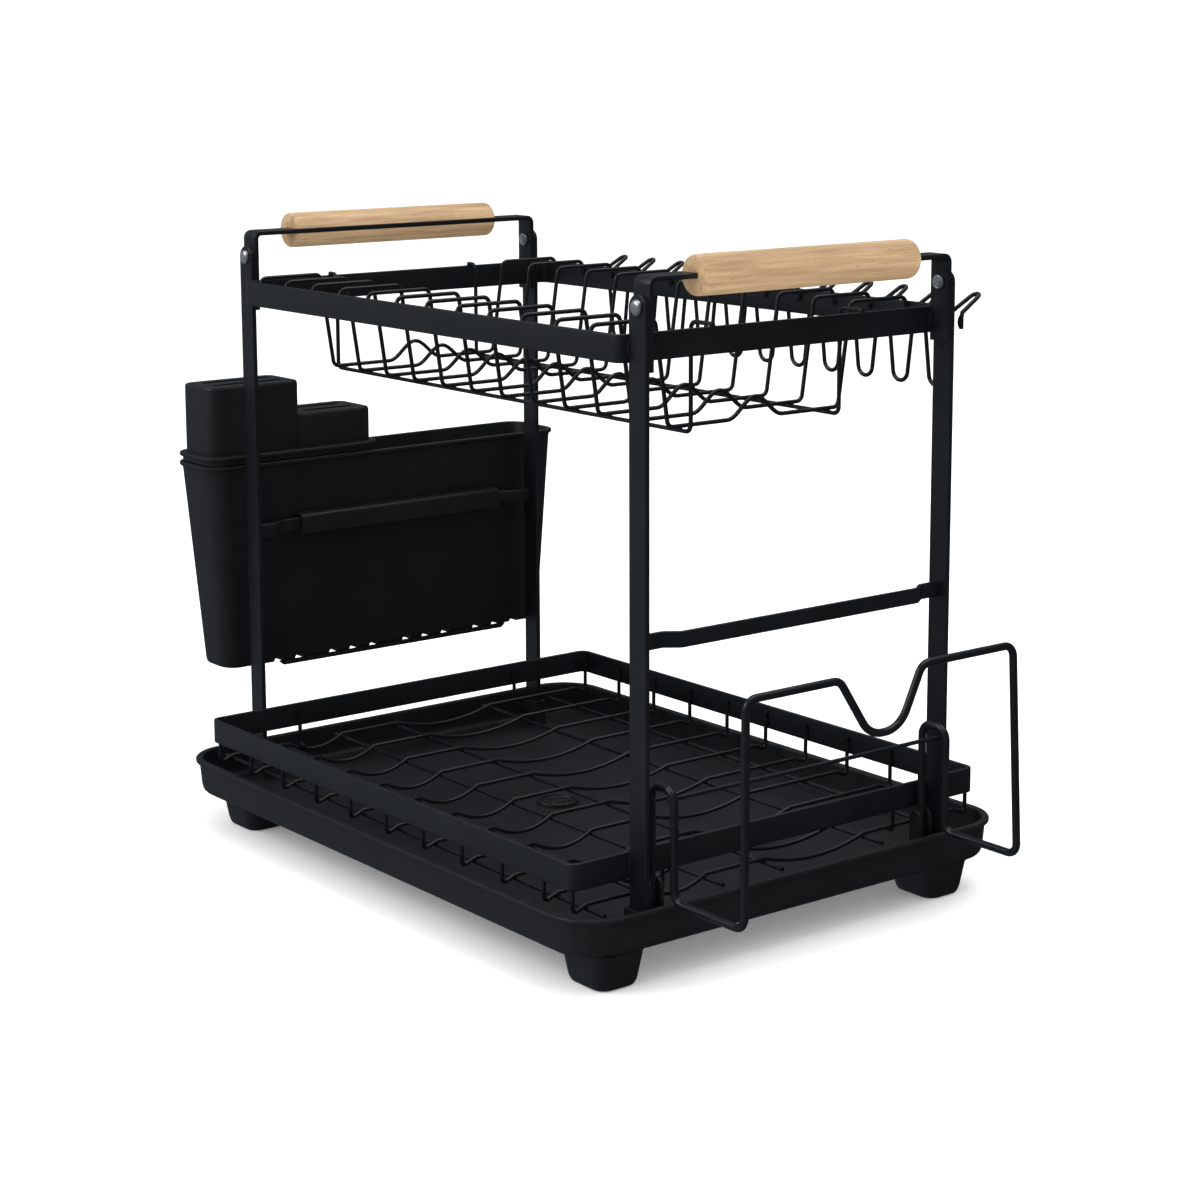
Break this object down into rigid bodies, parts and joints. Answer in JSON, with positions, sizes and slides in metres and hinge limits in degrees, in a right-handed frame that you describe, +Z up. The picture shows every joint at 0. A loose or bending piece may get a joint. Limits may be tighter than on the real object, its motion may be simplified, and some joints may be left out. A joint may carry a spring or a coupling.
{
  "type": "dish drying rack",
  "caption": "Two-tier countertop dish rack with a footed drip tray, wire baskets, cup hooks, a cutlery box with knife insert, a board holder and wooden handles.",
  "frame": {"origin": "mid-way along the overall length and depth, on the surface the tray's feet stand on", "axes": "+X along the length from the cutlery box to the board holder, +Y from the plain long side to the cup hooks, +Z up"},
  "size_m": [0.5312, 0.317, 0.387],
  "materials": {
    "coated_steel": "satin black powder coat on flat steel bar",
    "coated_wire": "satin black powder coat on round steel wire",
    "holder_rod": "satin black powder coat on thick steel rod",
    "beech": "sanded light beech, clear matt oil",
    "zinc_steel": "bright zinc plate",
    "tray_plastic": "fine matt moulded black",
    "box_plastic": "fine matt moulded black",
    "insert_plastic": "fine matt moulded black"
  },
  "bodies": {
    "tray": {"drip_tray": "tray_plastic"},
    "rack": {"post_front_left": "coated_steel", "post_back_left": "coated_steel", "post_front_right": "coated_steel", "post_back_right": "coated_steel", "cross_bar_left": "coated_steel", "cross_bar_right": "coated_steel", "bracket_left": "coated_steel", "bracket_right": "coated_steel", "upper_rim": "coated_steel", "lower_rim": "coated_steel", "upper_front_wires": "coated_wire", "upper_floor_wires": "coated_wire", "upper_back_wires": "coated_wire", "upper_long_wires": "coated_wire", "upper_end_wires": "coated_wire", "cup_hook_bends": "coated_wire", "cup_hook_tips": "coated_wire", "lower_uprights": "coated_wire", "lower_cross_wires": "coated_wire", "lower_long_wires": "coated_wire", "handle_left": "beech", "handle_right": "beech", "bolts": "zinc_steel", "bolt_nuts": "zinc_steel"},
    "box": {"cutlery_box": "box_plastic"},
    "insert": {"knife_insert": "insert_plastic"},
    "board_holder": {"holder_pins": "holder_rod", "holder_arches": "holder_rod", "holder_base_rods": "holder_rod", "holder_uprights": "holder_rod", "holder_rail": "holder_rod", "holder_cross_wire": "holder_rod"}
  },
  "joints": [
    {"name": "rack_lift", "type": "slide", "parent": "tray", "child": "rack", "axis": [0, 0, 1], "range_m": [0, 0.06]},
    {"name": "box_lift", "type": "slide", "parent": "rack", "child": "box", "axis": [0, 0, 1], "range_m": [0, 0.04]},
    {"name": "insert_lift", "type": "slide", "parent": "box", "child": "insert", "axis": [0, 0, 1], "range_m": [0, 0.05]},
    {"name": "holder_lift", "type": "slide", "parent": "tray", "child": "board_holder", "axis": [0, 0, 1], "range_m": [0, 0.06]}
  ]
}
